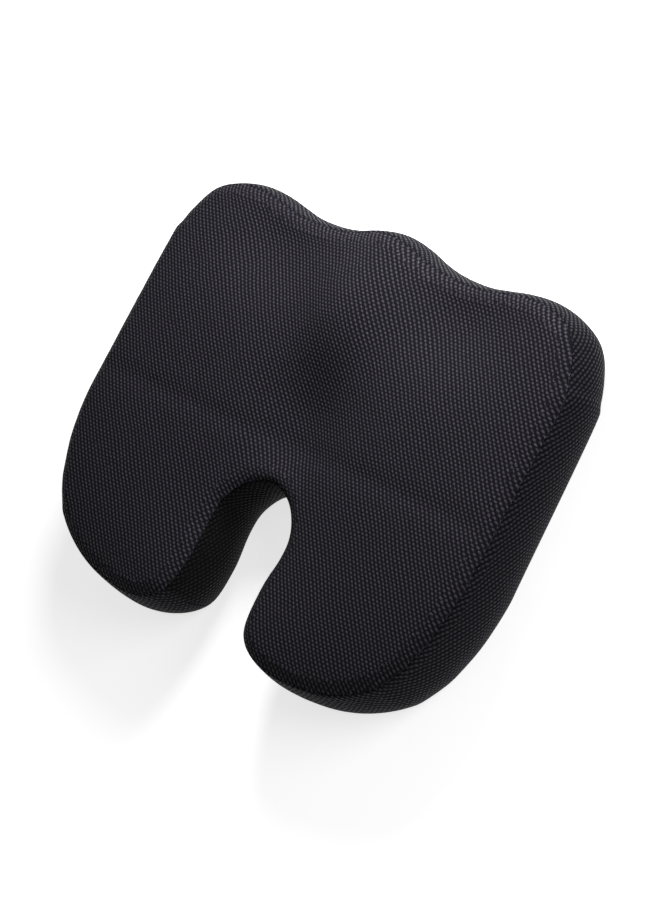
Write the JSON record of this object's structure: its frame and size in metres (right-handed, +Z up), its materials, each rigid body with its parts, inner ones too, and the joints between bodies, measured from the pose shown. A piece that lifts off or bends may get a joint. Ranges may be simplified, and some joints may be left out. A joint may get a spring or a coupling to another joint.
{
  "type": "seat cushion",
  "caption": "U-shaped contoured seat cushion with a foam core in a zipped mesh cover and a tail notch at the rear.",
  "frame": {"origin": "point of the underside on the plane of symmetry, midway between the front edge and the rear lobes within 5 mm, on the surface that the cushion lies on", "axes": "+Z up; the front edge faces -Y and the tail notch opens to +Y; the zip runs along the +X side"},
  "size_m": [0.4582, 0.3556, 0.0734],
  "materials": {
    "foam": "open-cell memory foam",
    "spacer_mesh": "black polyester spacer mesh with small round openings",
    "base_cloth": "black woven cloth with rubber grip dots",
    "thread": "black sewing thread",
    "zip_tape": "black woven tape",
    "zip_coil": "black nylon coil",
    "zip_metal": "black enamel"
  },
  "bodies": {
    "cushion": {"foam_core": "foam", "top_panel": "spacer_mesh", "base_panel": "base_cloth", "gusset_notch": "spacer_mesh", "gusset_rear_left": "spacer_mesh", "gusset_front_right": "spacer_mesh", "gusset_zip_upper": "spacer_mesh", "gusset_zip_lower": "spacer_mesh", "top_seam_thread": "thread", "base_seam_thread": "thread", "zip_topstitch_upper": "thread", "zip_topstitch_lower": "thread", "zip_tape_upper": "zip_tape", "zip_tape_lower": "zip_tape", "zip_teeth_upper": "zip_coil", "zip_teeth_lower": "zip_coil", "zip_top_stop_upper": "zip_metal", "zip_top_stop_lower": "zip_metal", "zip_bottom_stop": "zip_metal"},
    "slider": {"zip_slider": "zip_metal"},
    "pull_tab": {"zip_pull_tab": "zip_metal"}
  },
  "joints": [
    {"name": "zip_slide", "type": "slide", "parent": "cushion", "child": "slider", "axis": [0, 1, 0], "range_m": [0, 0.125]},
    {"name": "pull_tab_hinge", "type": "hinge", "parent": "slider", "child": "pull_tab", "pos_m": [0.22978, -0.088, 0.027], "axis": [0, 0, -1], "range_deg": [0, 170]}
  ]
}
